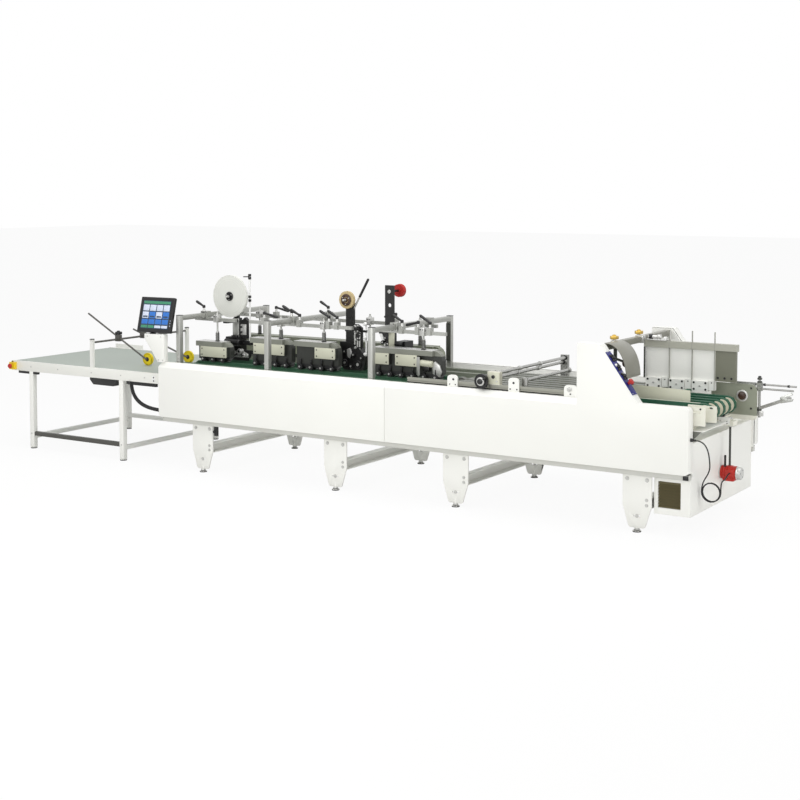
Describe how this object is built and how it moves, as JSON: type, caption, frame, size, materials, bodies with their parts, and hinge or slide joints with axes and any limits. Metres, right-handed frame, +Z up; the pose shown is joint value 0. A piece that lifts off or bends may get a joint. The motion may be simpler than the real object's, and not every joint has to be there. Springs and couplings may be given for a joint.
{
  "type": "tape applicator machine",
  "caption": "Floor-standing tape applicator line: feeder with belts, belt carriers with tape heads under gantries, and a delivery conveyor table.",
  "frame": {"origin": "on the floor, under the middle of the machine's length and width", "axes": "+X along the machine towards the feeder, +Y from the operator's side to the far side, +Z up"},
  "size_m": [7.62, 1.55, 1.7787],
  "materials": {
    "white_paint": "satin white powder coat",
    "cream_paint": "satin cream paint",
    "grey_paint": "satin grey paint",
    "aluminium": "anodised profile",
    "steel": "ground shafts",
    "black_paint": "satin black",
    "black_rubber": "matt",
    "green_belt": "matt green belt",
    "table_belt": "matt grey-green belt",
    "yellow_plastic": "moulded",
    "red_plastic": "moulded",
    "blue_panel": "printed panel film",
    "tape_white": "wound paper tape"
  },
  "bodies": {
    "machine": {"conduit": "black_rubber", "console_panel": "blue_panel", "control_cabinet": "white_paint", "cord_coil": "black_rubber", "cord_drop": "black_rubber", "cord_gland": "black_rubber", "cord_lead": "black_rubber", "emergency_stop": "yellow_plastic", "far_carrier": "cream_paint", "far_cover_left": "white_paint", "far_cover_right": "white_paint", "far_hold_down": "aluminium", "far_side_wall": "grey_paint", "feed_belts": "green_belt", "feeder_front_gate": "grey_paint", "feeder_rear_frame": "cream_paint", "feeder_side_guide": "white_paint", "gantry_1": "aluminium", "gantry_2": "aluminium", "gantry_3": "aluminium", "guide_shafts": "steel", "leg_frame_1": "white_paint", "leg_frame_2": "white_paint", "leg_frame_3": "white_paint", "leg_frame_4": "white_paint", "lower_belts": "green_belt", "middle_bed": "grey_paint", "near_carrier_1": "cream_paint", "near_carrier_2": "cream_paint", "near_carrier_3": "cream_paint", "near_carrier_4": "cream_paint", "near_cover_left": "white_paint", "near_cover_right": "white_paint", "near_guide_rail": "aluminium", "near_hold_down_1": "aluminium", "near_hold_down_2": "aluminium", "near_hold_down_3": "aluminium", "near_side_wall": "grey_paint", "panel_case": "black_paint", "panel_pedestal": "white_paint", "press_bar": "steel", "rear_support": "steel", "table_bed": "grey_paint", "table_belt": "table_belt", "table_far_rail": "white_paint", "table_legs": "aluminium", "table_near_rail": "white_paint", "tape_head_1": "black_paint", "tape_head_2": "black_paint", "tape_head_3": "black_paint", "vibrator": "red_plastic"},
    "tape_reel_1_body": {"tape_reel_1": "tape_white"},
    "tape_reel_2_body": {"tape_reel_2": "tape_white"},
    "tape_reel_3_body": {"tape_reel_3": "tape_white"},
    "handwheel_body": {"handwheel": "black_paint"},
    "press_wheel_near_body": {"press_wheel_near": "yellow_plastic"},
    "press_wheel_far_body": {"press_wheel_far": "yellow_plastic"}
  },
  "joints": [
    {"name": "tape_reel_1_spin", "type": "hinge", "parent": "machine", "child": "tape_reel_1_body", "pos_m": [-1.465, -0.123, 1.56], "axis": [0, 1, 0], "continuous": true},
    {"name": "tape_reel_2_spin", "type": "hinge", "parent": "machine", "child": "tape_reel_2_body", "pos_m": [-0.13, -0.123, 1.583], "axis": [0, 1, 0], "continuous": true},
    {"name": "tape_reel_3_spin", "type": "hinge", "parent": "machine", "child": "tape_reel_3_body", "pos_m": [0.325, 0.03, 1.675], "axis": [0, 1, 0], "continuous": true},
    {"name": "handwheel_spin", "type": "hinge", "parent": "machine", "child": "handwheel_body", "pos_m": [1.59, -0.733, 1.048], "axis": [0, 1, 0], "continuous": true},
    {"name": "press_wheel_near_spin", "type": "hinge", "parent": "machine", "child": "press_wheel_near_body", "pos_m": [-2.35, -0.298, 0.925], "axis": [0, 1, 0], "continuous": true},
    {"name": "press_wheel_far_spin", "type": "hinge", "parent": "machine", "child": "press_wheel_far_body", "pos_m": [-2.14, 0.052, 0.925], "axis": [0, 1, 0], "continuous": true}
  ]
}
